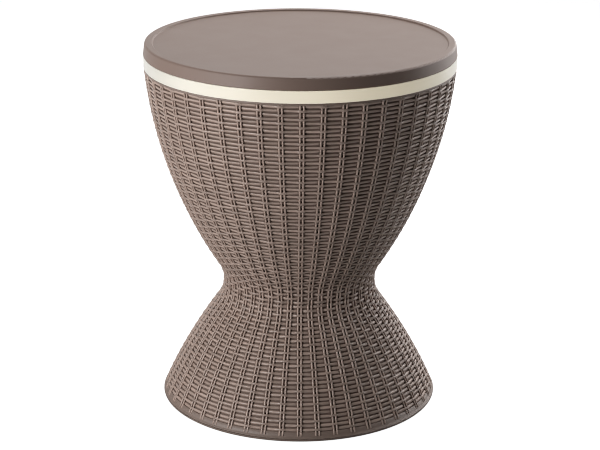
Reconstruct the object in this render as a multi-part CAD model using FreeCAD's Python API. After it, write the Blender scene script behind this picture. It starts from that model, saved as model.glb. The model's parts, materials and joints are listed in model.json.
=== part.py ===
import FreeCAD, Part
import math
import os

os.makedirs("parts", exist_ok=True)

# Cooler table with lid. Millimetres, +Z up, origin on the ground at the centre of the foot.
# The table is a turned shape: a flared foot, a narrow waist and a bulged upper shell that
# holds a cooler bowl. The lid is the table top. It rises on a post and locks by a twist.

# Overall sizes
total_height = 586.0
lid_radius = 246.0             # at the lower edge of the lid's skirt, the widest place
lid_skirt_height = 19.8
band_height = 19.0             # the bowl's pale rim that shows under the lid
lift_travel = 255.0            # how far the post raises the lid
twist_angle = 40.0             # how far the lid turns to lock

# Outer outline of the two woven mouldings, built from three tangent arcs
waist_radius = 122.8
waist_height = 193.2
waist_blend = 58.0             # radius of the hollow at the waist
foot_bulge = 815.0             # radius of the slight bulge of the foot
shell_bulge = 715.0            # radius of the bulge of the upper shell
foot_rim_radius = 218.0        # outline radius at the top of the foot's plain rim
foot_rim_height = 14.5
foot_edge_rounding = 3.0
shell_top_radius = 245.5
wall = 4.0                     # mouldings
floor_thickness = 5.0

# Woven look. The solids carry its upright stakes, which stand in pairs: one rib for each pair
stake_count = 48
stake_width = 8.6
stake_angle = 0.6              # of the first stake, from +X
weave_depth = 1.5              # from the stakes to the wall between them
foot_weave_bottom = 17.0
shell_rim_height = 3.6         # plain rim above the weave

# Cooler bowl
bowl_gap = 14.0                # from the outline to the outside of the bowl
bowl_wall = 3.0
bowl_floor_top = 292.0
bowl_floor_thickness = 3.5
bowl_corner = 22.0
band_radius = 245.6
band_wall = 3.0

# Telescopic column
sleeve_bottom = 150.0
sleeve_top = 512.0
sleeve_radius = 32.0
sleeve_bore = 26.0
groove_radius = 28.5           # bottom of the key grooves
groove_width = 8.4
key_width = 7.8
key_radius = 28.2
post_radius = 23.0
post_bore = 21.0
slide_gap = 0.3                # between curved faces that move on each other
journal_radius = 16.0
retainer_bore = 14.4
lug_bottom = 204.0
lug_height = 8.0
lug_gap = 0.4
lug_collar_bottom = 201.0
lug_collar_top = 215.0

# Lid
pan_floor_bottom = 541.0
pan_wall = 3.0
pan_spigot_radius = 222.0
lid_lip_width = 10.0
lid_lip_height = 2.8
cover_wall = 2.6

# Drain
drain_offset = 70.0            # from the axis, towards +X
drain_bore = 8.5
drain_tube_radius = 12.0

# Fasteners
screw_shank = 2.2
screw_head_radius = 4.4
screw_head_height = 2.6
waist_screw_count = 6
waist_screw_circle = 104.0
lid_screw_count = 8
lid_screw_circle = 198.0
head_screw_count = 4
head_screw_circle = 48.0

# Heights worked out from the sizes above
band_top = total_height - lid_skirt_height
shell_top = band_top - band_height

ORIGIN = FreeCAD.Vector(0, 0, 0)
UP = FreeCAD.Vector(0, 0, 1)


def on_section(radius, height):
    """A point of the half section, which lies in the XZ plane."""
    return FreeCAD.Vector(radius, 0, height)


def turn(edges):
    """Solid turned round the axis from a closed chain of section edges."""
    face = Part.Face(Part.Wire(Part.__sortEdges__(edges)))
    return face.revolve(ORIGIN, UP, 360)


def rounded_outline(corners):
    """Closed outline through (radius, height, rounding) corners."""
    points = [on_section(radius, height) for radius, height, _ in corners]
    starts = []
    ends = []
    middles = []
    for index, (_, _, rounding) in enumerate(corners):
        here = points[index]
        back = (points[index - 1] - here).normalize()
        ahead = (points[(index + 1) % len(points)] - here).normalize()
        half_angle = back.getAngle(ahead) / 2
        cut = rounding / math.tan(half_angle)
        starts.append(here + back * cut)
        ends.append(here + ahead * cut)
        reach = rounding / math.sin(half_angle) - rounding
        middles.append(here + (back + ahead).normalize() * reach if rounding else here)
    edges = []
    for index, (_, _, rounding) in enumerate(corners):
        if rounding:
            edges.append(Part.Arc(starts[index], middles[index], ends[index]).toShape())
        next_start = starts[(index + 1) % len(corners)]
        if (next_start - ends[index]).Length > 1e-6:
            edges.append(Part.makeLine(ends[index], next_start))
    return edges


def turned(*corners):
    """Turned solid through (radius, height) or (radius, height, rounding) corners."""
    return turn(rounded_outline([(*corner, 0.0)[:3] for corner in corners]))


def ring(bottom, top, outer, inner=0.0, rounding=0.0):
    """Plain disc or ring between two heights."""
    return turned((inner, bottom), (outer, bottom, rounding), (outer, top, rounding), (inner, top))


def around(shape, count, first_angle=0.0):
    """Equally spaced copies of a shape round the axis."""
    copies = []
    for index in range(count):
        copy = shape.copy()
        copy.rotate(ORIGIN, UP, first_angle + 360.0 * index / count)
        copies.append(copy)
    return copies


def block(x_low, x_high, y_low, y_high, z_low, z_high):
    """Box between two corners."""
    corner = FreeCAD.Vector(x_low, y_low, z_low)
    return Part.makeBox(x_high - x_low, y_high - y_low, z_high - z_low, corner)


def moved(shape, x, y=0.0, z=0.0):
    """Copy of a shape, shifted."""
    copy = shape.copy()
    copy.translate(FreeCAD.Vector(x, y, z))
    return copy


def bulge_centre(radius_there, height_there, bulge):
    """Centre of a bulge arc that passes one outline point and meets the waist's arc smoothly."""
    waist_r = waist_radius + waist_blend
    across = math.hypot(waist_r - radius_there, waist_height - height_there)
    joined = bulge + waist_blend
    along = (bulge ** 2 - joined ** 2 + across ** 2) / (2 * across)
    aside = math.sqrt(bulge ** 2 - along ** 2)
    u_r = (waist_r - radius_there) / across
    u_z = (waist_height - height_there) / across
    first = (radius_there + along * u_r - aside * u_z, height_there + along * u_z + aside * u_r)
    second = (radius_there + along * u_r + aside * u_z, height_there + along * u_z - aside * u_r)
    return min(first, second)


waist_centre = (waist_radius + waist_blend, waist_height)
foot_centre = bulge_centre(foot_rim_radius, foot_rim_height, foot_bulge)
shell_centre = bulge_centre(shell_top_radius, shell_top, shell_bulge)


def meeting_height(centre, bulge, inset):
    """Height where the waist's arc passes into a bulge arc, on the outline moved inwards."""
    share = (waist_blend + inset) / (bulge + waist_blend)
    return waist_centre[1] + (centre[1] - waist_centre[1]) * share


def outline_radius(height, inset=0.0):
    """Radius of the table's outline at a height, moved inwards square to the surface."""
    if height < meeting_height(foot_centre, foot_bulge, inset):
        centre, reach = foot_centre, foot_bulge - inset
    elif height > meeting_height(shell_centre, shell_bulge, inset):
        centre, reach = shell_centre, shell_bulge - inset
    else:
        centre, reach = waist_centre, -(waist_blend + inset)
    side = math.copysign(1.0, reach)
    return centre[0] + side * math.sqrt(reach ** 2 - (height - centre[1]) ** 2)


def outline_arcs(low, high, inset=0.0):
    """Arcs of the outline between two heights."""
    lower = meeting_height(foot_centre, foot_bulge, inset)
    upper = meeting_height(shell_centre, shell_bulge, inset)
    stops = [low] + [height for height in (lower, upper) if low < height < high] + [high]
    arcs = []
    for start, end in zip(stops, stops[1:]):
        heights = (start, (start + end) / 2, end)
        nudge = (1e-9, 0.0, -1e-9)
        points = [on_section(outline_radius(h + n, inset), h) for h, n in zip(heights, nudge)]
        arcs.append(Part.Arc(*points).toShape())
    return arcs


def rounded_low_edge(floor, rounding, inset, centre, bulge):
    """Arc from a flat floor into the outline, with its two end points."""
    reach = bulge - inset
    arc_z = floor + rounding
    arc_r = centre[0] + math.sqrt((reach - rounding) ** 2 - (arc_z - centre[1]) ** 2)
    lean = math.atan2(arc_z - centre[1], arc_r - centre[0])
    half_way = (lean - math.pi / 2) / 2
    on_floor = on_section(arc_r, floor)
    middle = on_section(arc_r + rounding * math.cos(half_way), arc_z + rounding * math.sin(half_way))
    on_wall = on_section(centre[0] + reach * math.cos(lean), centre[1] + reach * math.sin(lean))
    return Part.Arc(on_floor, middle, on_wall).toShape(), on_floor, on_wall


def filled_outline(low, high, inset=0.0, rounded_edge=None):
    """Solid inside the outline between two heights, with a rounded lower edge if one is given."""
    edges = []
    bottom = on_section(outline_radius(low, inset), low)
    wall_low = low
    if rounded_edge:
        edge, bottom, on_wall = rounded_low_edge(low, *rounded_edge)
        edges.append(edge)
        wall_low = on_wall.z
    top = on_section(outline_radius(high, inset), high)
    edges += outline_arcs(wall_low, high, inset)
    edges.append(Part.makeLine(on_section(0, low), bottom))
    edges.append(Part.makeLine(on_section(0, high), top))
    edges.append(Part.makeLine(on_section(0, low), on_section(0, high)))
    return turn(edges)


def between_stakes(low, high):
    """Shallow fields of the outline between two heights that leave the stakes standing."""
    skin = filled_outline(low, high, -1.0).cut(filled_outline(low - 1, high + 1, weave_depth))
    stake = block(100, 260, -stake_width / 2, stake_width / 2, low - 1, high + 1)
    return skin.cut(around(stake, stake_count, stake_angle))


def screw(tip, seat):
    """Pan-head screw on the axis, driven upwards: its head is under the seat."""
    head = turned((0, seat - screw_head_height), (screw_head_radius, seat - screw_head_height, 1.6),
                  (screw_head_radius, seat), (0, seat))
    shank = turned((0, seat), (screw_shank, seat), (screw_shank, tip - 3), (0.4, tip), (0, tip))
    blade = block(-2.6, 2.6, -0.5, 0.5, seat - screw_head_height, seat - screw_head_height + 1.3)
    cross = blade.copy()
    cross.rotate(ORIGIN, UP, 90)
    return head.fuse(shank).cut(blade).cut(cross)


def save(name, shape):
    """Write one sub-part."""
    shape = shape.removeSplitter()
    for solid in shape.Solids:
        if not solid.isValid():
            print("not valid:", name)
    shape.exportStep("parts/" + name + ".step")
    print(name, len(shape.Solids), "solid(s)", round(shape.Volume / 1000, 1), "cm3")


# Foot moulding
waist_ring_hole = 93.0
ground_ring_width = 9.0
ground_ring_height = 6.0
gusset_count = 12
gusset_thickness = 2.5
gusset_depth = 34.0


def gussets(low, high, inner, count, first_angle=0.0):
    """Thin radial ribs between a flat ring and the inside of the wall."""
    top_inside = on_section(inner, high)
    inset = wall - 1.0
    top_outside = on_section(outline_radius(high, inset), high)
    low_outside = on_section(outline_radius(low, inset), low)
    edges = outline_arcs(low, high, inset)
    edges += [Part.makeLine(top_inside, top_outside), Part.makeLine(top_inside, low_outside)]
    plate = Part.Face(Part.Wire(Part.__sortEdges__(edges)))
    rib = plate.extrude(FreeCAD.Vector(0, gusset_thickness, 0))
    return around(moved(rib, 0, -gusset_thickness / 2), count, first_angle)


def base_foot():
    """Flared foot: hollow, open below, with a screw ring at the waist."""
    edge = (foot_edge_rounding, 0.0, foot_centre, foot_bulge)
    ground_radius = rounded_low_edge(0, *edge)[1].x
    ring_bottom = waist_height - floor_thickness
    body = filled_outline(0, waist_height, 0.0, edge)
    body = body.cut(between_stakes(foot_weave_bottom, waist_height + 1))
    body = body.cut(filled_outline(ground_ring_height, ring_bottom, wall))
    body = body.cut(ring(-1, ground_ring_height + 1, ground_radius - ground_ring_width))
    ribs = gussets(ring_bottom - gusset_depth, ring_bottom + 0.5, waist_ring_hole + 2, gusset_count, 15)
    body = body.fuse(ribs)
    body = body.cut(ring(ring_bottom - 1, waist_height + 1, waist_ring_hole))
    hole = moved(ring(ring_bottom - 1, waist_height + 1, screw_shank + 0.3), waist_screw_circle)
    return body.cut(around(hole, waist_screw_count))


# Upper shell moulding
shell_floor_top = waist_height + floor_thickness
socket_wall = 3.7
socket_height = 28.0           # above the waist
drain_hole = 14.6
socket_drip_hole = 6.0


def upper_shell():
    """Bulged shell: hollow, open above, with a floor and a socket that carry the column."""
    body = filled_outline(waist_height, shell_top)
    body = body.cut(between_stakes(waist_height - 1, shell_top - shell_rim_height))
    body = body.cut(filled_outline(shell_floor_top, shell_top + 5, wall))
    spigot = ring(waist_height - 6, waist_height, waist_ring_hole - 0.3, waist_ring_hole - 4.3)
    socket_outer = sleeve_radius + slide_gap + socket_wall
    socket = ring(sleeve_bottom - 4, waist_height + socket_height, socket_outer, 0, 1.0)
    boss = moved(ring(shell_floor_top - 1, waist_height + 18, 6.0), waist_screw_circle)
    web = block(socket_outer - 1, 88, -1.4, 1.4, shell_floor_top - 1, waist_height + 22)
    body = body.fuse([spigot, socket] + around(boss, waist_screw_count) + around(web, 6, 30))
    body = body.cut(ring(sleeve_bottom, waist_height + socket_height + 1, sleeve_radius + slide_gap))
    body = body.cut(ring(sleeve_bottom - 5, sleeve_bottom + 1, socket_drip_hole))
    pilot = moved(ring(waist_height - 1, waist_height + 16, screw_shank), waist_screw_circle)
    body = body.cut(around(pilot, waist_screw_count))
    return body.cut(moved(ring(waist_height - 7, shell_floor_top + 1, drain_hole), drain_offset))


def waist_screws():
    """Screws that hold the foot to the upper shell, driven from below."""
    one = screw(waist_height + 14, waist_height - floor_thickness)
    return Part.makeCompound(around(moved(one, waist_screw_circle), waist_screw_count))


# Cooler bowl
bowl_inside = bowl_gap + bowl_wall
bowl_floor_bottom = bowl_floor_top - bowl_floor_thickness


def cooler_bowl():
    """Bowl for ice and bottles, with the pale band that shows between the lid and the shell."""
    outer_edge = (bowl_corner + bowl_wall, bowl_gap, shell_centre, shell_bulge)
    inner_edge = (bowl_corner, bowl_inside, shell_centre, shell_bulge)
    mouth_outer = outline_radius(shell_top, bowl_gap)
    rib_low = shell_top - 8
    rib_outer = outline_radius(rib_low, wall) - 0.5
    body = filled_outline(bowl_floor_bottom, shell_top, bowl_gap, outer_edge)
    neck = ring(shell_top - 0.5, band_top - 1.5, mouth_outer)
    land = turned((0, band_top - 3), (band_radius - 1, band_top - 3), (band_radius, band_top - 2.4),
                  (band_radius, band_top, 1.0), (0, band_top))
    band = turned((band_radius - band_wall, shell_top), (band_radius, shell_top, 0.8),
                  (band_radius, band_top - 2), (band_radius - band_wall, band_top - 2))
    locating_rib = ring(rib_low, band_top - 2, rib_outer, rib_outer - 2.5)
    body = body.fuse([neck, land, band, locating_rib])
    body = body.cut(filled_outline(bowl_floor_top, shell_top, bowl_inside, inner_edge))
    body = body.cut(ring(shell_top - 0.1, band_top + 1, mouth_outer - bowl_wall))
    body = body.cut(ring(bowl_floor_bottom - 1, bowl_floor_top + 1, sleeve_radius + 0.2))
    drain = ring(bowl_floor_bottom - 1, bowl_floor_top + 1, drain_tube_radius + 0.2)
    return body.cut(moved(drain, drain_offset))


# Column that guides the post
gasket_thickness = 2.0
flange_thickness = 4.0
sleeve_flange_radius = 46.0
inner_stop_top = 155.0
sleeve_drip_hole = 3.0
collar_bottom = 498.0
collar_top = 526.0
collar_radius = 37.0
wiper_radius = 29.0


def key_groove_pair(low, high, width, reach):
    """Two bars across the axis, one to each side, that cut grooves or stand as keys."""
    bar = block(-reach, reach, -width / 2, width / 2, low, high)
    return bar.common(ring(low, high, reach))


def lock_notch(height):
    """Pair of curved recesses into which the lugs turn at one end of the travel."""
    low = lug_bottom + height - lug_gap
    high = lug_bottom + height + lug_height + lug_gap
    start = on_section(sleeve_bore - 1, low)
    section = Part.Face(Part.makePolygon([start, on_section(groove_radius, low),
                                          on_section(groove_radius, high),
                                          on_section(sleeve_bore - 1, high), start]))
    lug_half_angle = math.degrees(math.asin(key_width / 2 / sleeve_bore))
    sweep = twist_angle + lug_half_angle + 1.0
    recess = section.revolve(ORIGIN, UP, -sweep)
    return around(recess, 2)


def post_sleeve():
    """Fixed tube of the column: key grooves, lock notches at both ends, and a clamping flange."""
    flange_low = bowl_floor_top + gasket_thickness
    body = ring(sleeve_bottom, sleeve_top, sleeve_radius, 0, 0.8)
    body = body.fuse(ring(flange_low, flange_low + flange_thickness, sleeve_flange_radius, 0, 1.0))
    body = body.cut(ring(inner_stop_top, sleeve_top + 1, sleeve_bore))
    body = body.cut(ring(sleeve_bottom - 1, inner_stop_top + 1, sleeve_drip_hole))
    body = body.cut(key_groove_pair(inner_stop_top, sleeve_top + 1, groove_width, groove_radius))
    return body.cut(lock_notch(0) + lock_notch(lift_travel))


def sleeve_gasket():
    """Seal between the column's flange and the bowl's floor."""
    high = bowl_floor_top + gasket_thickness
    return ring(bowl_floor_top, high, sleeve_flange_radius - 1, sleeve_radius, 0.4)


def sleeve_nut():
    """Notched ring nut that clamps the column to the bowl's floor from below."""
    low = bowl_floor_bottom - 10
    body = ring(low, bowl_floor_bottom, 44.0, sleeve_radius, 1.0)
    notch = block(40.5, 46, -3, 3, low - 1, bowl_floor_bottom - 3)
    return body.cut(around(notch, 8))


def sleeve_collar():
    """Cap at the column's mouth: it guides the post and stops the lugs from leaving."""
    body = ring(collar_bottom, collar_top, collar_radius, sleeve_radius, 1.2)
    web = ring(sleeve_top, collar_top, sleeve_radius + 1, post_radius + slide_gap)
    plug = ring(sleeve_top - 8, sleeve_top, sleeve_bore - 0.1, post_radius + slide_gap)
    body = body.fuse([web, plug])
    body = body.cut(ring(collar_top - 5, collar_top + 1, wiper_radius))
    flute = moved(ring(collar_bottom - 1, collar_bottom + 17, 2.0), collar_radius + 1.0)
    return body.cut(around(flute, 18))


def wiper_ring():
    """Rubber ring in the collar that keeps melt water off the post."""
    inner = post_radius + slide_gap
    low = collar_top - 5
    return turned((inner + 1.4, low), (wiper_radius, low), (wiper_radius, collar_top - 0.5, 0.5),
                  (inner + 2, collar_top - 0.5), (inner, collar_top + 1.2), (inner, collar_top - 1.5))


# Key slide on the lower end of the post
shoe_bottom = 162.0
shoe_top = 200.6
retainer_bottom = 159.6
retainer_thickness = 2.0


def glide_shoe():
    """Slide with two keys. It rides in the grooves and lets the post turn inside it."""
    body = ring(shoe_bottom, shoe_top, sleeve_bore - slide_gap, 0, 0.8)
    body = body.fuse(key_groove_pair(shoe_bottom, shoe_top, key_width, key_radius))
    body = body.cut(ring(shoe_bottom - 1, shoe_top + 1, journal_radius + slide_gap))
    relief = ring(shoe_bottom + 12, shoe_top - 12, sleeve_bore + 5, sleeve_bore - 1.5)
    return body.cut(relief)


# Post
post_bottom = lug_collar_top
post_top = 572.0
foot_pin_height = 236.0
head_pin_height = 562.0
pin_radius = 2.5


def cross_hole(height, reach=30.0):
    """Round bar across the axis at a height, along Y."""
    start = FreeCAD.Vector(0, -reach, height)
    return Part.makeCylinder(pin_radius, 2 * reach, start, FreeCAD.Vector(0, 1, 0))


def post_foot():
    """Moulded foot of the post: a journal for the slide, the two lock lugs and a plug."""
    journal = ring(retainer_bottom - 1.6, lug_collar_bottom + 1, journal_radius, 0, 0.8)
    collar = ring(lug_collar_bottom, lug_collar_top, sleeve_bore - 0.4, 0, 0.8)
    lugs = key_groove_pair(lug_bottom, lug_bottom + lug_height, key_width, key_radius)
    plug = ring(lug_collar_top - 1, lug_collar_top + 36, post_bore, 0, 1.0)
    body = journal.fuse([collar, lugs, plug])
    groove_low = retainer_bottom - 0.1
    groove_high = retainer_bottom + retainer_thickness + 0.1
    body = body.cut(ring(groove_low, groove_high, journal_radius + 1, retainer_bore))
    return body.cut(cross_hole(foot_pin_height))


def shoe_retainer():
    """Split spring ring that keeps the slide on the journal."""
    high = retainer_bottom + retainer_thickness
    body = ring(retainer_bottom, high, journal_radius + 4.5, retainer_bore)
    return body.cut(block(-2, 2, 0, 30, retainer_bottom - 1, high + 1))


def foot_pin():
    """Cross pin through the post and its foot."""
    bar = cross_hole(foot_pin_height, post_radius + 1)
    return bar.common(ring(foot_pin_height - 5, foot_pin_height + 5, post_radius))


def post_tube():
    """Moving tube of the column."""
    body = ring(post_bottom, post_top, post_radius, post_bore)
    return body.cut([cross_hole(foot_pin_height), cross_hole(head_pin_height)])


# Lid
head_flange_radius = 58.0
pan_floor_top = pan_floor_bottom + pan_wall
head_socket_wall = 5.0
pan_flange_top = band_top + 3.0
cover_underside = total_height - lid_lip_height - cover_wall
boss_top = 572.0
screw_recess_depth = 12.0


def post_head():
    """Flanged socket on the post's upper end, inside the lid."""
    outer = post_radius + head_socket_wall
    body = ring(pan_floor_top, pan_floor_top + 5, head_flange_radius, 0, 1.0)
    socket = ring(pan_floor_top, post_top + 3, outer, 0, 1.0)
    body = body.fuse(socket)
    boss = moved(ring(pan_floor_top + 4, pan_floor_top + 16, 5.0), head_screw_circle)
    rib = block(outer - 1, head_flange_radius - 3, -1.5, 1.5, pan_floor_top + 4, pan_floor_top + 14)
    body = body.fuse(around(boss, head_screw_count, 45) + around(rib, head_screw_count, 0))
    body = body.cut(ring(pan_floor_bottom, post_top, post_radius))
    pilot = moved(ring(pan_floor_top - 1, pan_floor_top + 14, screw_shank), head_screw_circle)
    body = body.cut(around(pilot, head_screw_count, 45))
    return body.cut(cross_hole(head_pin_height, outer + 1))


def head_pin():
    """Cross pin through the post and its head."""
    outer = post_radius + head_socket_wall
    bar = cross_hole(head_pin_height, outer + 1)
    return bar.common(ring(head_pin_height - 5, head_pin_height + 5, outer))


def head_screws():
    """Screws that hold the lid's lower pan to the post's head."""
    one = screw(pan_floor_top + 13, pan_floor_bottom)
    return Part.makeCompound(around(moved(one, head_screw_circle), head_screw_count, 45))


def lid_underpan():
    """Lower half of the lid: a shallow pan that drops into the bowl's mouth."""
    spigot_top_radius = pan_spigot_radius + 2
    outer = turned((0, pan_floor_bottom), (pan_spigot_radius, pan_floor_bottom, 6.0),
                   (spigot_top_radius, band_top + 1), (0, band_top + 1))
    flange = ring(band_top, pan_flange_top, lid_radius - 5)
    inner = turned((0, pan_floor_top), (pan_spigot_radius - pan_wall, pan_floor_top, 4.0),
                   (spigot_top_radius - pan_wall, pan_flange_top + 1), (0, pan_flange_top + 1))
    body = outer.fuse(flange).cut(inner)
    boss = moved(ring(pan_floor_bottom + 1, boss_top, 7.5), lid_screw_circle)
    body = body.fuse(around(boss, lid_screw_count))
    body = body.cut(ring(pan_floor_bottom - 1, pan_floor_top + 1, post_radius + 0.5))
    hole = moved(ring(pan_floor_bottom - 1, pan_floor_top + 1, screw_shank + 0.3), head_screw_circle)
    recess = moved(ring(pan_floor_bottom - 1, pan_floor_bottom + screw_recess_depth, 5.2), lid_screw_circle)
    pilot = moved(ring(pan_floor_bottom, boss_top + 1, screw_shank + 0.3), lid_screw_circle)
    body = body.cut(around(hole, head_screw_count, 45))
    return body.cut(around(recess, lid_screw_count) + around(pilot, lid_screw_count))


def lid_screws():
    """Screws that close the lid, driven up through the pan's bosses into the cover."""
    one = screw(cover_underside - 2.5, pan_floor_bottom + screw_recess_depth)
    return Part.makeCompound(around(moved(one, lid_screw_circle), lid_screw_count))


def table_cover():
    """Table top: a flat recessed field, a raised lip and a skirt with a rounded shoulder."""
    field = total_height - lid_lip_height
    skirt_low = band_top + 0.4
    lip_outer = lid_radius - 2.4
    lip_inner = lip_outer - lid_lip_width - 1.5
    outer = turned((0, skirt_low), (lid_radius, skirt_low, 0.8), (lip_outer, total_height, 3.4),
                   (lip_inner, total_height, 1.2), (lip_inner - 1.5, field, 1.4), (0, field))
    hollow = turned((0, skirt_low - 1), (lid_radius - 3.2, skirt_low - 1),
                    (lip_outer - 3.2, cover_underside + 1, 2.0), (lip_inner - 2.5, cover_underside + 1),
                    (lip_inner - 3.5, cover_underside), (0, cover_underside))
    boss = moved(ring(boss_top, cover_underside + 1, 6.0), lid_screw_circle)
    rib = block(20, lip_outer - 6, -1.2, 1.2, cover_underside - 5, cover_underside + 0.5)
    pilot = moved(ring(boss_top - 1, cover_underside - 1, screw_shank), lid_screw_circle)
    rings = [ring(cover_underside - 5, cover_underside + 0.5, radius, radius - 2.4) for radius in (70, 140)]
    body = outer.cut(hollow).fuse(around(boss, lid_screw_count) + around(rib, 16, 11.25) + rings)
    return body.cut(around(pilot, lid_screw_count))


# Drain
spout_flange = 18.0
spout_top = bowl_floor_top + gasket_thickness + 3
spout_bottom = 262.0
pipe_bottom = 186.0
pipe_socket_top = 276.0
plug_stem = 8.2
plug_head = 15.0


def drain_spout():
    """Flanged outlet through the bowl's floor."""
    flange = ring(bowl_floor_top + gasket_thickness, spout_top, spout_flange, 0, 0.8)
    tube = ring(spout_bottom, bowl_floor_top + gasket_thickness + 1, drain_tube_radius)
    body = flange.fuse(tube).cut(ring(spout_bottom - 1, spout_top + 1, drain_bore))
    return moved(body, drain_offset)


def drain_gasket():
    """Seal under the outlet's flange."""
    low = bowl_floor_top
    body = ring(low, low + gasket_thickness, spout_flange - 0.6, drain_tube_radius)
    return moved(body, drain_offset)


def drain_nut():
    """Six-sided nut under the bowl's floor."""
    low = bowl_floor_bottom - 8
    corners = []
    for step in range(7):
        angle = math.radians(60 * step)
        corners.append(FreeCAD.Vector(19.5 * math.cos(angle), 19.5 * math.sin(angle), low))
    body = Part.Face(Part.makePolygon(corners)).extrude(FreeCAD.Vector(0, 0, 8))
    chamfered = turned((0, low), (18.2, low), (19.6, low + 1), (19.6, low + 8), (0, low + 8))
    body = body.common(chamfered).cut(ring(low - 1, low + 9, drain_tube_radius))
    return moved(body, drain_offset)


def drain_pipe():
    """Pipe that leads melt water down past the shell's floor into the open foot."""
    body = ring(pipe_bottom, pipe_socket_top, 14.0, drain_tube_radius, 0.4)
    return moved(body, drain_offset)


def drain_plug():
    """Pull-out bung with a finger tab."""
    head_low = spout_top + 1.6
    head = ring(head_low, head_low + 4, plug_head, 0, 1.4)
    stem = turned((0, spout_top - 15), (plug_stem - 0.8, spout_top - 15, 1.0),
                  (plug_stem - 0.2, head_low + 1), (0, head_low + 1))
    tab = block(-10, 10, -2.5, 2.5, head_low + 3, head_low + 16)
    upright = [edge for edge in tab.Edges if abs(edge.tangentAt(edge.FirstParameter).y) > 0.9]
    tab = tab.makeFillet(3.0, [edge for edge in upright if edge.CenterOfMass.z > head_low + 10])
    return moved(head.fuse([stem, tab]), drain_offset)


def plug_seal():
    """Ring under the bung's head."""
    return moved(ring(spout_top, spout_top + 1.6, 12.5, plug_stem + 0.2, 0.5), drain_offset)


builders = [base_foot, upper_shell, waist_screws, cooler_bowl, post_sleeve, sleeve_gasket, sleeve_nut,
            sleeve_collar, wiper_ring, glide_shoe, post_tube, post_foot, foot_pin, shoe_retainer, post_head,
            head_pin, head_screws, lid_underpan, lid_screws, table_cover, drain_spout, drain_gasket,
            drain_nut, drain_pipe, drain_plug, plug_seal]
for builder in builders:
    save(builder.__name__, builder())
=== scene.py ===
import json
import math

import bmesh
import bpy
import numpy as np
from mathutils import Matrix, Vector


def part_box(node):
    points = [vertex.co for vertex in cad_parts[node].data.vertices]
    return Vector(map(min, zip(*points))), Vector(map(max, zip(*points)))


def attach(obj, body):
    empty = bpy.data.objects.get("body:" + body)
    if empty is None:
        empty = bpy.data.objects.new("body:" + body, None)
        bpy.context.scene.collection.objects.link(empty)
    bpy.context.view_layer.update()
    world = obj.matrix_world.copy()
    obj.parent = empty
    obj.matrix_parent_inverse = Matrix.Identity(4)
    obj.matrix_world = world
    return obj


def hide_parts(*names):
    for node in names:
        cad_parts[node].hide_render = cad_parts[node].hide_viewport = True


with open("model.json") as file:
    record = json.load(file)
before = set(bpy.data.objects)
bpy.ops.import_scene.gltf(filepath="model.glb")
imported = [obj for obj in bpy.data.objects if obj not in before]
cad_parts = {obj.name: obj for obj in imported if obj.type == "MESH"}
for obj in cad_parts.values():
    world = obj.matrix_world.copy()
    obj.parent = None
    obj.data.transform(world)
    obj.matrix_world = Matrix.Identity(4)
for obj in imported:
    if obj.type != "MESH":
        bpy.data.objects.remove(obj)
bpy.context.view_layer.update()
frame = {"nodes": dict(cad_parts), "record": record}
nodes = frame["nodes"]

# Metres, +Z up, origin on the ground at the centre of the foot. The photograph looks along +Y.
# The foot and the upper shell are moulded as a weave: pairs of upright ribs, and rows of
# strands that pass over one pair and under the next. Both are built here as real relief.

# Outline of the two woven mouldings: three tangent arcs, as in the solids
waist_radius = 0.1228
waist_height = 0.1932
waist_blend = 0.058
foot_bulge = 0.815
shell_bulge = 0.715
foot_rim_radius = 0.218
foot_rim_height = 0.0145
foot_edge_rounding = 0.003
shell_top_radius = 0.2455
shell_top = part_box("upper_shell")[1][2]
outline_samples = 6001

# Pairs of ribs, and the grooves between ribs and strands
pair_count = 48
foot_turn = math.radians(0.45)      # the front pair stands this far to the right
shell_turn = math.radians(0.75)
rib_spacing = 0.0054                # between the two ribs of a pair
rib_half_width = 0.00155
rib_roundness = 1.0
rib_drop = 0.0002                   # crest of a rib below the outline
rib_step = 0.005                    # length between its cross-sections
rib_end_lengths = np.array([0.0, 0.0004, 0.0012])    # and closer together at an end that shows
rib_end_drop = 0.0007               # of the second of these
groove_depth = 0.0034               # bottom of the grooves below the outline
edge_depth = groove_depth + 0.0003  # the edges of strands and ribs are buried in it
rim_root = groove_depth + 0.0004    # and so are those of the rims

# Strands
strand_count = pair_count // 2      # in each row
strand_roundness = 0.65
foot_row_half_width = 0.00252
shell_row_half_width = 0.00208
foot_over_width = 0.80              # width of a strand where it passes over, against its width elsewhere
shell_over_width = 1.08
pair_reach = 0.0042                 # a strand is level this far to both sides of a pair
dive_reach = 0.0056                 # this far before the next pair it starts to dive under it
slope_reach = 0.0074                # this far past a pair it has come down from it, or up from below
over_drop = -0.0004                 # crest of a strand below the outline where it passes over a pair
slope_drop = 0.0009                 # where it has come down beside that pair
dive_drop = 0.0015                  # where it starts to dive under the next pair
under_drop = 0.0024                 # and under it

# Places on the weave, as lengths along the outline from its lower end
foot_ribs_low = 0.0058
foot_rim_top = 0.0128
foot_first_row = 0.0159
foot_last_row = 0.2091
foot_row_count = 30
seam_length = 0.2125                # where the two mouldings meet
shell_first_row = 0.21585
shell_last_row = 0.5895
shell_row_count = 58
shell_rim_low = 0.5914
shell_ribs_high = shell_rim_low + 0.0008

# Plain rims on the ground and at the top of the shell
rim_segments = 384
foot_edge_points = 9
foot_sole = 0.003                   # flat sole inside the rounded edge
foot_rim_lean = 0.002               # the hidden back of the rim leans out by this
foot_rim_back = 0.004               # and ends at this height

# Tone of the plastic: brightness against that of a strand, and share of the dark groove brown, which also
# roughens. Ribs and crossings carry painted light and shade
rim_tone = 0.68
rim_dullness = 0.3
# Painted light: the ribs are painted lighter than the strands, for the light on their flanks
rib_painted_light = 1.14
# Painted shade: a strand is painted darker where it passes over a pair
over_painted_shade = 0.88                    # of a strand where it passes over a pair
over_limit = 0.5 * slope_drop       # which it does where its crest is higher than this
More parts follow.
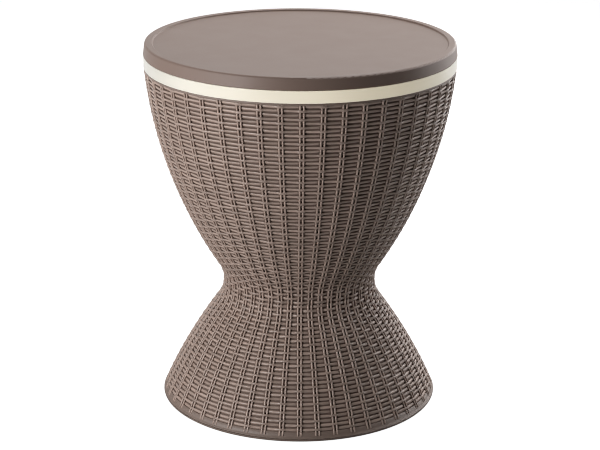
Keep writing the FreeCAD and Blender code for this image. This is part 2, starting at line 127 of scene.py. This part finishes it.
# Painted shade: a strand is darkened, and roughened, where it dives under a pair
sunk_shade_and_dullness = 0.45                # of a strand under a pair

# Irregularity of the weave
random = np.random.default_rng(11)
height_jitter = 0.00010
side_jitter = 0.00016
row_tone_jitter = 0.03
strand_tone_jitter = 0.05

# Camera: fitted to the outline of the table in the photograph
camera_place = (0.0, -2.8874, 1.2416)
camera_pitch = math.radians(18.4025)
camera_roll = math.radians(0.27)
focal_pixels = 1882.9
image_width = 600
sensor_width = 36.0
sideways_shift = 0.0009
pixel_filter = 1.1                  # narrow, as the photograph is sharp


# Outline

def bulge_centre(radius_there, height_there, bulge):
    """Centre of a bulge arc that passes one outline point and meets the waist's arc smoothly."""
    waist_r = waist_radius + waist_blend
    across = math.hypot(waist_r - radius_there, waist_height - height_there)
    joined = bulge + waist_blend
    along = (bulge ** 2 - joined ** 2 + across ** 2) / (2 * across)
    aside = math.sqrt(bulge ** 2 - along ** 2)
    u_r = (waist_r - radius_there) / across
    u_z = (waist_height - height_there) / across
    first = (radius_there + along * u_r - aside * u_z, height_there + along * u_z + aside * u_r)
    second = (radius_there + along * u_r + aside * u_z, height_there + along * u_z - aside * u_r)
    return min(first, second)


waist_centre = (waist_radius + waist_blend, waist_height)
foot_centre = bulge_centre(foot_rim_radius, foot_rim_height, foot_bulge)
shell_centre = bulge_centre(shell_top_radius, shell_top, shell_bulge)


def meeting_height(centre, bulge, inset):
    """Height where the waist's arc passes into a bulge arc, on the outline moved inwards."""
    share = (waist_blend + inset) / (bulge + waist_blend)
    return waist_centre[1] + (centre[1] - waist_centre[1]) * share


def outline_radius(height, inset=0.0):
    """Radius of the table's outline at heights, moved inwards square to the surface."""
    height = np.asarray(height, float)

    def half_chord(bulge, middle_height):
        return np.sqrt(np.maximum(bulge ** 2 - (height - middle_height) ** 2, 0.0))

    foot = foot_centre[0] + half_chord(foot_bulge - inset, foot_centre[1])
    shell = shell_centre[0] + half_chord(shell_bulge - inset, shell_centre[1])
    waist = waist_centre[0] - half_chord(waist_blend + inset, waist_height)
    low = meeting_height(foot_centre, foot_bulge, inset)
    high = meeting_height(shell_centre, shell_bulge, inset)
    return np.where(height < low, foot, np.where(height > high, shell, waist))


# The outline by length along it
outline_heights = np.linspace(foot_edge_rounding, shell_top, outline_samples)
outline_radii = outline_radius(outline_heights)
outline_steps = np.hypot(np.diff(outline_radii), np.diff(outline_heights))
outline_lengths = np.concatenate([[0.0], np.cumsum(outline_steps)])
outline_end = outline_lengths[-1]
slope_r = np.gradient(outline_radii, outline_lengths)
slope_z = np.gradient(outline_heights, outline_lengths)


def on_outline(length):
    """Radius, height and upward direction (r, z) of the outline at lengths along it."""
    radius = np.interp(length, outline_lengths, outline_radii)
    height = np.interp(length, outline_lengths, outline_heights)
    up_r = np.interp(length, outline_lengths, slope_r)
    up_z = np.interp(length, outline_lengths, slope_z)
    return radius, height, up_r, up_z


def spin(radius, height, angle):
    """Points at an angle from the front towards the right."""
    radius, height, angle = np.broadcast_arrays(radius, height, angle)
    return np.stack([radius * np.sin(angle), -radius * np.cos(angle), height], axis=-1)


# Meshes

def put_in_scene(name, data):
    """Object of a mesh, lamp or camera."""
    thing = bpy.data.objects.new(name, data)
    bpy.context.scene.collection.objects.link(thing)
    return thing


def add_numbers(mesh, tone, depth):
    """The two numbers that every point carries for the material of the weave."""
    for label, values in (("tone", tone), ("depth", depth)):
        layer = mesh.attributes.new(label, "FLOAT", "POINT")
        layer.data.foreach_set("value", np.ascontiguousarray(values, np.float32))


def smooth_object(name, points, faces, tone, depth):
    """Mesh object with smooth faces that look outwards."""
    mesh = bpy.data.meshes.new(name)
    mesh.from_pydata(points.tolist(), [], faces)
    mesh.validate()
    add_numbers(mesh, tone, depth)
    turned = bmesh.new()
    turned.from_mesh(mesh)
    bmesh.ops.recalc_face_normals(turned, faces=turned.faces)
    turned.to_mesh(mesh)
    turned.free()
    mesh.polygons.foreach_set("use_smooth", [True] * len(mesh.polygons))
    return put_in_scene(name, mesh)


def skin_faces(count, size, closed):
    """Faces over cross-sections of one size, joined into a ring or with an end at each side."""
    faces = []
    for step in range(count if closed else count - 1):
        here = step * size
        ahead = (step + 1) % count * size
        for corner in range(size):
            beside = (corner + 1) % size
            faces.append([here + corner, ahead + corner, ahead + beside, here + beside])
    if not closed:
        faces.append(list(range(size)))
        faces.append([(count - 1) * size + corner for corner in range(size)])
    return faces


class Relief:
    """Points, faces and numbers of a piece of relief, collected body by body."""

    def __init__(self):
        self.points = []
        self.faces = []
        self.tones = []
        self.depths = []
        self.count = 0

    def add(self, points, faces, tones, depths):
        """Take over one closed body."""
        self.points.append(points.reshape(-1, 3))
        self.faces += [[self.count + corner for corner in face] for face in faces]
        self.tones.append(np.broadcast_to(tones, points.shape[:-1]).reshape(-1))
        self.depths.append(np.broadcast_to(depths, points.shape[:-1]).reshape(-1))
        self.count += points.size // 3

    def build(self, name):
        """One mesh object of all the bodies."""
        tone = np.concatenate(self.tones)
        depth = np.concatenate(self.depths)
        return smooth_object(name, np.concatenate(self.points), self.faces, tone, depth)


# Cross-section of a strand or rib: places across it, the drop of a round bar there, and the
# share of the painted groove shade, which darkens its lower flanks
section_places = np.array([-1.0, -0.9, -0.56, 0.0, 0.56, 0.9, 1.0])
section_drops = 1.0 - np.sqrt(1.0 - section_places ** 2)
section_depths = np.array([1.0, 0.35, 0.0, 0.0, 0.0, 0.35, 1.0])
section_size = len(section_places)


def bar_drops(crest_drop, half_width, roundness):
    """Drop below the outline of every point of a bar's cross-sections."""
    drops = crest_drop[:, None] + section_drops[None, :] * half_width * roundness
    drops[:, 0] = edge_depth
    drops[:, -1] = edge_depth
    return np.minimum(drops, edge_depth)


# Strands

# Cross-sections of a strand are closer together beside the pairs of ribs
beside_pair = np.array([0.0, pair_reach, dive_reach, slope_reach])
sections_per_pair = 2 * len(beside_pair)
pair_of_section = np.repeat(np.arange(pair_count), sections_per_pair)
row_faces = skin_faces(pair_count * sections_per_pair, section_size, True)


def wavy(size, ring_places):
    """Small random shift that changes from pair to pair round the table."""
    knots = random.normal(0.0, size, pair_count)
    return np.interp(ring_places, np.arange(pair_count + 1), np.append(knots, knots[0]))


def drop_past(distance, spacing, reach):
    """Drop of a strand's crest below the outline, at a distance from the pair it goes over."""
    knots = [pair_reach, slope_reach, spacing - reach, spacing - pair_reach]
    return np.interp(distance, knots, [over_drop, slope_drop, dive_drop, under_drop])


def row_course(places, spacing, phase):
    """Crest drops round a row. An even phase passes over the front pair of ribs."""
    falling = np.tile(drop_past(places, spacing, dive_reach), pair_count)
    rising = np.tile(drop_past(spacing - places, spacing, slope_reach), pair_count)
    return np.where((pair_of_section + phase) % 2 == 0, falling, rising)


def row_tones(ring_places, crest_drop, phase):
    """Tones round a row. Every strand has its own, and it carries painted shade where the strand passes
    over.
    """
    strand = np.floor((ring_places + phase + 1) / 2).astype(int) % strand_count
    tones = random.normal(0.0, strand_tone_jitter, strand_count)[strand]
    tones = 1.0 + tones + random.normal(0.0, row_tone_jitter)
    # Painted shade where the strand passes over a pair
    return tones * np.where(crest_drop < over_limit, over_painted_shade, 1.0)


def strand_row(relief, length, row_half_width, over_width, phase, turn):
    """One row of strands round the table."""
    radius, height, up_r, up_z = on_outline(length)
    spacing = 2 * math.pi * radius / pair_count
    places = np.concatenate([beside_pair, [spacing / 2], spacing - beside_pair[:0:-1]])
    ring_places = pair_of_section + np.tile(places / spacing, pair_count)
    crest_drop = row_course(places, spacing, phase)
    raised = np.clip(1.0 - crest_drop / slope_drop, 0.0, 1.0)
    half_width = row_half_width * (1.0 + (over_width - 1.0) * raised)
    crest_drop = crest_drop + np.abs(wavy(height_jitter, ring_places))
    drops = bar_drops(crest_drop, row_half_width, strand_roundness)
    across = wavy(side_jitter, ring_places)[:, None] + section_places[None, :] * half_width[:, None]
    angles = turn + 2 * math.pi * ring_places / pair_count
    points = spin(radius - drops * up_z + across * up_r, height + drops * up_r + across * up_z,
                  angles[:, None])
    tones = row_tones(ring_places, crest_drop, phase)
    # Painted shade, with a rougher finish, on a strand as it dives under a pair
    sunk = sunk_shade_and_dullness * np.interp(crest_drop, [dive_drop, under_drop], [0.0, 1.0])
    relief.add(points, row_faces, tones[:, None], np.maximum(section_depths[None, :], sunk[:, None]))


def strand_rows(name, lengths, row_half_width, over_width, first_phase, turn):
    """Rows of strands at lengths along the outline, over and under in turn."""
    relief = Relief()
    for index, length in enumerate(lengths):
        strand_row(relief, length, row_half_width, over_width, first_phase + index, turn)
    return relief.build(name)


# Ribs, rims and walls

def rib_pairs(name, low, high, low_end_shows, turn):
    """Pairs of ribs between two lengths along the outline. An end that shows is rounded."""
    lengths = np.linspace(low, high, round((high - low) / rib_step))
    if low_end_shows:
        lengths = np.concatenate([low + rib_end_lengths, lengths[1:]])
    crest_drop = np.full(len(lengths), rib_drop)
    if low_end_shows:
        crest_drop[:2] = (groove_depth, rib_end_drop)
    radius, height, up_r, up_z = on_outline(lengths)
    drops = bar_drops(crest_drop, rib_half_width, rib_roundness)
    place_r = radius[:, None] - drops * up_z[:, None]
    place_z = height[:, None] + drops * up_r[:, None]
    faces = skin_faces(len(lengths), section_size, False)
    relief = Relief()
    for pair in range(pair_count):
        pair_angle = turn + 2 * math.pi * pair / pair_count
        for side in (-0.5, 0.5):
            across = side * rib_spacing + section_places[None, :] * rib_half_width
            points = spin(place_r, place_z, pair_angle + across / radius[:, None])
            # Painted light: each rib is lighter than the strands
            tone = rib_painted_light + random.normal(0.0, row_tone_jitter)
            relief.add(points, faces, tone, section_depths[None, :])
    return relief.build(name)


def lathe(name, section):
    """Closed outline of (radius, height) points, turned round the axis."""
    angles = 2 * math.pi * np.arange(rim_segments) / rim_segments
    radii, heights = np.array(section).T
    points = spin(radii[None, :], heights[None, :], angles[:, None]).reshape(-1, 3)
    faces = skin_faces(rim_segments, len(section), True)
    tone = np.full(len(points), rim_tone)
    depth = np.full(len(points), rim_dullness)
    return smooth_object(name, points, faces, tone, depth)


def below_outline(length, drop):
    """Section point at a length along the outline, below the surface by a drop."""
    radius, height, up_r, up_z = on_outline(length)
    return float(radius - drop * up_z), float(height + drop * up_r)


def foot_rim():
    """Plain rim on the ground: a rounded edge, a plain band, and a step down to the weave."""
    lengths_and_drops = (
        (0.0012, 0.0),
        (0.0026, 0.0),
        (0.0036, 0.0004),
        (0.0048, 0.0011),
        (0.0070, 0.0013),
        (foot_rim_top - 0.0006, 0.0014),
        (foot_rim_top, 0.0020),
        (foot_rim_top, rim_root),
    )
    reach = foot_bulge - foot_edge_rounding
    edge_height = foot_edge_rounding
    edge_radius = foot_centre[0] + math.sqrt(reach ** 2 - (edge_height - foot_centre[1]) ** 2)
    lean = math.atan2(edge_height - foot_centre[1], edge_radius - foot_centre[0])
    section = []
    for angle in np.linspace(-math.pi / 2, lean, foot_edge_points):
        section.append((edge_radius + foot_edge_rounding * math.cos(angle),
                        edge_height + foot_edge_rounding * math.sin(angle)))
    section += [below_outline(length, drop) for length, drop in lengths_and_drops]
    section.append((section[-1][0] + foot_rim_lean, foot_rim_back))
    section.append((edge_radius - foot_sole, 0.0))
    return lathe("foot_rim", section)


def shell_rim():
    """Thin plain rim at the top of the upper shell."""
    lengths_and_drops = (
        (shell_rim_low, rim_root),
        (shell_rim_low, 0.0012),
        (shell_rim_low + 0.0005, 0.0005),
        (shell_rim_low + 0.0012, 0.0003),
        (outline_end - 0.0006, 0.0002),
        (outline_end - 0.0001, 0.0007),
        (outline_end, rim_root),
    )
    return lathe("shell_rim", [below_outline(length, drop) for length, drop in lengths_and_drops])


def wall_behind(name, node):
    """The node's solid with its outer side moved in to the bottom of the grooves."""
    mesh = nodes[node].data.copy()
    mesh.name = name
    count = len(mesh.vertices)
    points = np.empty(count * 3, np.float32)
    mesh.vertices.foreach_get("co", points)
    points = points.reshape(-1, 3)
    radius = np.hypot(points[:, 0], points[:, 1])
    limit = outline_radius(points[:, 2], groove_depth)
    outside = radius > limit
    scale = np.where(outside, limit / np.maximum(radius, 1e-6), 1.0)
    points[:, 0] *= scale
    points[:, 1] *= scale
    mesh.vertices.foreach_set("co", points.reshape(-1))
    # Painted shade: the moved-in outer side, the bottom of the grooves, takes the full groove brown
    add_numbers(mesh, np.ones(count), outside.astype(float))
    mesh.update()
    return put_in_scene(name, mesh)


# Materials

# The scale of a noise is the number of its features in a metre, and the distance of a bump is its
# depth in metres. Most of a noise lies in these ranges.
middle_of_noise = (0.35, 0.65)
most_of_noise = (0.3, 0.7)
# Each material changes a little between two tints
# Painted light: the weave is the same plastic as the lid, painted lighter against the shade in its relief
woven_painted_light_tints = ((0.505, 0.377, 0.316), (0.480, 0.357, 0.298))
# Painted shade: grooves, the lower flanks of strands and ribs, and strands under pairs are darkened
# towards this brown; the rims take an even share of it
painted_groove_shade = (0.085, 0.046, 0.031)
groove_shade_share = 0.78                 # of the painted shade at the bottom of a groove
groove_dullness = 0.45              # added to the roughness there
lid_tints = ((0.276, 0.194, 0.160), (0.270, 0.189, 0.155))
cream_tints = ((0.780, 0.757, 0.692), (0.772, 0.748, 0.682))
inner_tints = ((0.030, 0.028, 0.028), (0.045, 0.042, 0.041))
rubber_tints = ((0.018, 0.018, 0.019), (0.034, 0.033, 0.033))
aluminium_tints = ((0.66, 0.66, 0.67), (0.78, 0.78, 0.79))
zinc_tints = ((0.50, 0.51, 0.52), (0.68, 0.68, 0.67))
drawing_lines = (1.0, 1.0, 0.012)   # stretches a noise into lines along the post


def new_material(name):
    """Node material with its shader."""
    material = bpy.data.materials.new(name)
    material.use_nodes = True
    tree = material.node_tree
    shader = next(node for node in tree.nodes if node.type == "BSDF_PRINCIPLED")
    return material, tree, shader


def add_node(tree, kind, **settings):
    """Node with its input values or properties set."""
    node = tree.nodes.new(kind)
    for key, value in settings.items():
        if hasattr(node, key):
            setattr(node, key, value)
        else:
            node.inputs[key.replace("_", " ")].default_value = value
    return node


def noise(tree, scale, detail, stretch=(1.0, 1.0, 1.0)):
    """Noise value that lies still on the object."""
    place = add_node(tree, "ShaderNodeTexCoord")
    mapping = add_node(tree, "ShaderNodeMapping", Scale=stretch)
    tree.links.new(place.outputs["Object"], mapping.inputs["Vector"])
    texture = add_node(tree, "ShaderNodeTexNoise", Scale=scale, Detail=detail)
    tree.links.new(mapping.outputs["Vector"], texture.inputs["Vector"])
    return texture.outputs["Fac"]


def spread(tree, value, low, high, value_range=(0.0, 1.0)):
    """Value mapped from its own range to the one from low to high."""
    node = add_node(tree, "ShaderNodeMapRange", To_Min=low, To_Max=high,
                    From_Min=value_range[0], From_Max=value_range[1])
    tree.links.new(value, node.inputs["Value"])
    return node.outputs["Result"]


def calculated(tree, operation, first, second):
    """Result of a calculation with two sockets or numbers."""
    node = add_node(tree, "ShaderNodeMath", operation=operation)
    for socket, value in ((node.inputs[0], first), (node.inputs[1], second)):
        if isinstance(value, float):
            socket.default_value = value
        else:
            tree.links.new(value, socket)
    return node.outputs[0]


def mixed(tree, factor, first, second):
    """Colour between two colours or sockets."""
    node = add_node(tree, "ShaderNodeMix", data_type="RGBA")
    tree.links.new(factor, node.inputs[0])
    for socket, colour in ((node.inputs[6], first), (node.inputs[7], second)):
        if isinstance(colour, tuple):
            socket.default_value = (*colour, 1.0)
        else:
            tree.links.new(colour, socket)
    return node.outputs[2]


def dimmed(tree, colour, factor):
    """Colour multiplied by a value."""
    node = add_node(tree, "ShaderNodeVectorMath", operation="SCALE")
    tree.links.new(colour, node.inputs[0])
    tree.links.new(factor, node.inputs["Scale"])
    return node.outputs[0]


def tint(tree, shader, pattern, tints):
    """Base colour that changes from one tint to the other with a pattern."""
    tree.links.new(mixed(tree, pattern, *tints), shader.inputs["Base Color"])


def roughen(tree, shader, pattern, low, high, value_range=(0.0, 1.0)):
    """Roughness that changes from low to high with a pattern."""
    tree.links.new(spread(tree, pattern, low, high, value_range), shader.inputs["Roughness"])


def bump(tree, shader, height, distance):
    """Fine relief on the shader's normal."""
    node = add_node(tree, "ShaderNodeBump", Distance=distance)
    tree.links.new(height, node.inputs["Height"])
    tree.links.new(node.outputs["Normal"], shader.inputs["Normal"])


def woven_plastic():
    """Satin taupe plastic. Strands differ a little, and the grooves between them have painted shade and a
    duller finish.
    """
    material, tree, shader = new_material("woven_plastic")
    tone = add_node(tree, "ShaderNodeAttribute", attribute_name="tone").outputs["Fac"]
    depth = add_node(tree, "ShaderNodeAttribute", attribute_name="depth").outputs["Fac"]
    patch = spread(tree, noise(tree, scale=14.0, detail=3.0), 0.0, 1.0, middle_of_noise)
    # Painted light: the weave's tints are lighter than the lid's of the same plastic. The tone carries
    # random differences of the strands, painted light on the ribs and painted shade on the crossings
    strand_colour = dimmed(tree, mixed(tree, patch, *woven_painted_light_tints), tone)
    # Painted shade: deeper places are mixed towards the groove brown
    shade = spread(tree, depth, low=0.0, high=groove_shade_share)
    tree.links.new(mixed(tree, shade, strand_colour, painted_groove_shade), shader.inputs["Base Color"])
    grain = noise(tree, scale=1100.0, detail=3.0)
    satin = spread(tree, grain, low=0.30, high=0.40, value_range=most_of_noise)
    dullness = spread(tree, depth, low=0.0, high=groove_dullness)
    tree.links.new(calculated(tree, "ADD", satin, dullness), shader.inputs["Roughness"])
    shader.inputs["Specular IOR Level"].default_value = 0.65
    bump(tree, shader, grain, distance=0.00005)
    return material


def lid_plastic():
    """The same plastic with a fine even moulded grain."""
    material, tree, shader = new_material("lid_plastic")
    patch = spread(tree, noise(tree, scale=7.0, detail=3.0), 0.0, 1.0, middle_of_noise)
    tint(tree, shader, patch, lid_tints)
    smears = noise(tree, scale=22.0, detail=4.0)
    roughen(tree, shader, smears, low=0.44, high=0.48, value_range=most_of_noise)
    shader.inputs["Specular IOR Level"].default_value = 0.4
    bump(tree, shader, noise(tree, scale=1500.0, detail=2.0), distance=0.00006)
    return material


def cream_plastic():
    """Smooth cream plastic with a soft gloss."""
    material, tree, shader = new_material("cream_plastic")
    patch = spread(tree, noise(tree, scale=9.0, detail=2.0), 0.0, 1.0, most_of_noise)
    tint(tree, shader, patch, cream_tints)
    haze = noise(tree, scale=60.0, detail=4.0)
    roughen(tree, shader, haze, low=0.29, high=0.31, value_range=most_of_noise)
    bump(tree, shader, noise(tree, scale=420.0, detail=2.0), distance=0.00002)
    return material


def inner_plastic():
    """Dark matte plastic of the hidden pieces."""
    material, tree, shader = new_material("inner_plastic")
    patch = noise(tree, scale=40.0, detail=3.0)
    tint(tree, shader, patch, inner_tints)
    roughen(tree, shader, patch, low=0.45, high=0.60)
    bump(tree, shader, noise(tree, scale=900.0, detail=2.0), distance=0.00005)
    return material


def seal_rubber():
    """Soft black rubber."""
    material, tree, shader = new_material("seal_rubber")
    patch = noise(tree, scale=120.0, detail=3.0)
    tint(tree, shader, patch, rubber_tints)
    roughen(tree, shader, patch, low=0.62, high=0.80)
    bump(tree, shader, noise(tree, scale=700.0, detail=3.0), distance=0.00004)
    return material


def post_aluminium():
    """Anodised tube with fine drawing lines along it."""
    material, tree, shader = new_material("post_aluminium")
    shader.inputs["Metallic"].default_value = 1.0
    lines = noise(tree, scale=1600.0, detail=3.0, stretch=drawing_lines)
    tint(tree, shader, lines, aluminium_tints)
    roughen(tree, shader, lines, low=0.28, high=0.42)
    bump(tree, shader, lines, distance=0.00002)
    return material


def zinc_steel():
    """Zinc plated screws and pins."""
    material, tree, shader = new_material("zinc_steel")
    shader.inputs["Metallic"].default_value = 1.0
    patch = noise(tree, scale=300.0, detail=4.0)
    tint(tree, shader, patch, zinc_tints)
    roughen(tree, shader, patch, low=0.25, high=0.42)
    bump(tree, shader, noise(tree, scale=1400.0, detail=2.0), distance=0.00002)
    return material


finishes = {
    "woven_plastic": woven_plastic(),
    "lid_plastic": lid_plastic(),
    "cream_plastic": cream_plastic(),
    "inner_plastic": inner_plastic(),
    "seal_rubber": seal_rubber(),
    "post_aluminium": post_aluminium(),
    "steel": zinc_steel(),
}
slot_of_node = {part["node"]: part["material_slot"] for part in frame["record"]["subparts"]}


# The table

def dress(piece, slot_name):
    """Give a new piece its material and its slot, and let it ride on the housing."""
    piece.data.materials.clear()
    piece.data.materials.append(finishes[slot_name])
    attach(piece, "housing")


# The nodes of the solids get their materials
for node_name, node in nodes.items():
    for material_slot in node.material_slots:
        material_slot.material = finishes[slot_of_node[node_name]]

# The woven foot
foot_lengths = np.linspace(foot_first_row, foot_last_row, foot_row_count)
foot_pieces = [
    wall_behind("foot_wall", "base_foot"),
    foot_rim(),
    rib_pairs("foot_stakes", foot_ribs_low, seam_length, True, foot_turn),
    strand_rows("foot_rows", foot_lengths, foot_row_half_width, foot_over_width, 1, foot_turn),
]
for piece in foot_pieces:
    dress(piece, "woven_plastic")
    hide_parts("base_foot")

# The woven upper shell
shell_lengths = np.linspace(shell_first_row, shell_last_row, shell_row_count)
half_way = shell_row_count // 2
shell_pieces = [
    wall_behind("shell_wall", "upper_shell"),
    shell_rim(),
    rib_pairs("shell_stakes", seam_length, shell_ribs_high, False, shell_turn),
    strand_rows("shell_rows_low", shell_lengths[:half_way], shell_row_half_width, shell_over_width,
                0, shell_turn),
    strand_rows("shell_rows_high", shell_lengths[half_way:], shell_row_half_width, shell_over_width,
                half_way, shell_turn),
]
for piece in shell_pieces:
    dress(piece, "woven_plastic")
    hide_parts("upper_shell")


# Studio

# Lamps: azimuth from the camera's side towards the right and elevation (degrees), distance, width
# and height (m), and the brightness of a white surface that faces the lamp
lamps = (
    ("left_light", -80, 8, 1.6, 0.9, 1.3, 0.25),
    ("left_front_light", -46, 11, 1.6, 0.75, 0.5, 0.48),
    ("right_light", 103, 18, 2.4, 0.5, 1.8, 0.25),
    ("right_edge_light", 128, 14, 2.4, 0.6, 1.8, 0.18),
    ("back_right_light", 152, 20, 2.6, 0.9, 1.8, 0.21),
    ("back_light", 170, 65, 2.6, 1.8, 1.4, 0.68),
)
lamp_target = (0.0, 0.0, 0.33)
white = (1.0, 1.0, 1.0)
# The cream plastic lets light through, so its shaded side is filled by a lamp of its own
cream_lamp = ("cream_light", 14, 12, 2.6, 1.2, 1.0, 0.48)
cream_lamp_colour = (1.0, 0.90, 0.70)
world_fill = 0.01
floor_reach = 30.0
floor_level = -0.0005
floor_grey = (0.33, 0.33, 0.33, 1.0)
floor_glow = 0.95
# Reflections show the white background only behind the table. It comes in over these ranges.
mirrored_floor = (0.3, 2.0)         # Y of a place on the floor
mirrored_world = (0.55, 0.95)       # Y of a direction


def background_share(tree, behind):
    """1 for what the camera sees, and the share behind the table for what shine and glass show."""
    path = add_node(tree, "ShaderNodeLightPath")
    shown = calculated(tree, "ADD", path.outputs["Is Glossy Ray"], path.outputs["Is Transmission Ray"])
    shown = calculated(tree, "MULTIPLY", shown, behind)
    return calculated(tree, "MINIMUM", calculated(tree, "ADD", path.outputs["Is Camera Ray"], shown), 1.0)


def y_share(tree, place, y_range):
    """Value that goes from 0 to 1 while the Y of a place or direction goes through a range."""
    split = add_node(tree, "ShaderNodeSeparateXYZ")
    tree.links.new(place, split.inputs[0])
    return spread(tree, split.outputs["Y"], 0.0, 1.0, y_range)


def floor_material():
    """Matte floor that takes shadows and glows white for the camera and in reflections."""
    material = bpy.data.materials.new("floor_white")
    material.use_nodes = True
    tree = material.node_tree
    tree.nodes.clear()
    output = add_node(tree, "ShaderNodeOutputMaterial")
    paint = add_node(tree, "ShaderNodeBsdfDiffuse", Color=floor_grey)
    glow = add_node(tree, "ShaderNodeEmission")
    place = add_node(tree, "ShaderNodeNewGeometry")
    behind = y_share(tree, place.outputs["Position"], mirrored_floor)
    strength = calculated(tree, "MULTIPLY", background_share(tree, behind), floor_glow)
    tree.links.new(strength, glow.inputs["Strength"])
    both = add_node(tree, "ShaderNodeAddShader")
    tree.links.new(paint.outputs[0], both.inputs[0])
    tree.links.new(glow.outputs[0], both.inputs[1])
    tree.links.new(both.outputs[0], output.inputs["Surface"])
    return material


def white_floor():
    """Large white floor that keeps the object's shadow."""
    mesh = bpy.data.meshes.new("floor")
    signs = ((-1, -1), (1, -1), (1, 1), (-1, 1))
    corners = [(x * floor_reach, y * floor_reach, floor_level) for x, y in signs]
    mesh.from_pydata(corners, [], [(0, 1, 2, 3)])
    mesh.materials.append(floor_material())
    floor = put_in_scene("floor", mesh)


def studio_world():
    """White backdrop for the camera and for reflections, next to dark for the light on the table."""
    world = bpy.data.worlds.new("studio")
    bpy.context.scene.world = world
    world.use_nodes = True
    tree = world.node_tree
    tree.nodes.clear()
    output = add_node(tree, "ShaderNodeOutputWorld")
    sky = add_node(tree, "ShaderNodeBackground", Color=(*white, 1.0))
    place = add_node(tree, "ShaderNodeTexCoord")
    behind = y_share(tree, place.outputs["Generated"], mirrored_world)
    strength = spread(tree, background_share(tree, behind), world_fill, 1.0)
    tree.links.new(strength, sky.inputs["Strength"])
    tree.links.new(sky.outputs[0], output.inputs["Surface"])


def soft_lamp(name, azimuth, elevation, distance, width, height, level, colour=white):
    """Lamp turned to the table. Lit by it alone, white that faces it renders at the level."""
    lamp = bpy.data.lights.new(name, "AREA")
    lamp.shape = "RECTANGLE"
    lamp.size = width
    lamp.size_y = height
    lamp.energy = level * (math.pi * distance) ** 2
    lamp.color = colour
    turned = math.radians(azimuth)
    lifted = math.radians(elevation)
    across = distance * math.cos(lifted)
    place = Vector((across * math.sin(turned), -across * math.cos(turned),
                    lamp_target[2] + distance * math.sin(lifted)))
    holder = put_in_scene(name, lamp)
    holder.location = place
    holder.rotation_euler = (Vector(lamp_target) - place).to_track_quat("-Z", "Y").to_euler()
    return holder


def camera():
    """The photograph's camera."""
    lens = bpy.data.cameras.new("camera")
    lens.sensor_fit = "HORIZONTAL"
    lens.sensor_width = sensor_width
    lens.lens = focal_pixels / image_width * sensor_width
    lens.shift_x = sideways_shift
    turn = Matrix.Rotation(math.pi / 2 - camera_pitch, 3, "X") @ Matrix.Rotation(camera_roll, 3, "Z")
    holder = put_in_scene("camera", lens)
    holder.location = camera_place
    holder.rotation_euler = turn.to_euler()
    bpy.context.scene.camera = holder


white_floor()
studio_world()
for lamp_row in lamps:
    soft_lamp(*lamp_row)
cream_holder = soft_lamp(*cream_lamp, cream_lamp_colour)
cream_pieces = bpy.data.collections.new("cream_pieces")
cream_pieces.objects.link(nodes["cooler_bowl"])
cream_holder.light_linking.receiver_collection = cream_pieces
camera()
bpy.context.scene.view_settings.view_transform = "Standard"
bpy.context.scene.cycles.filter_width = pixel_filter
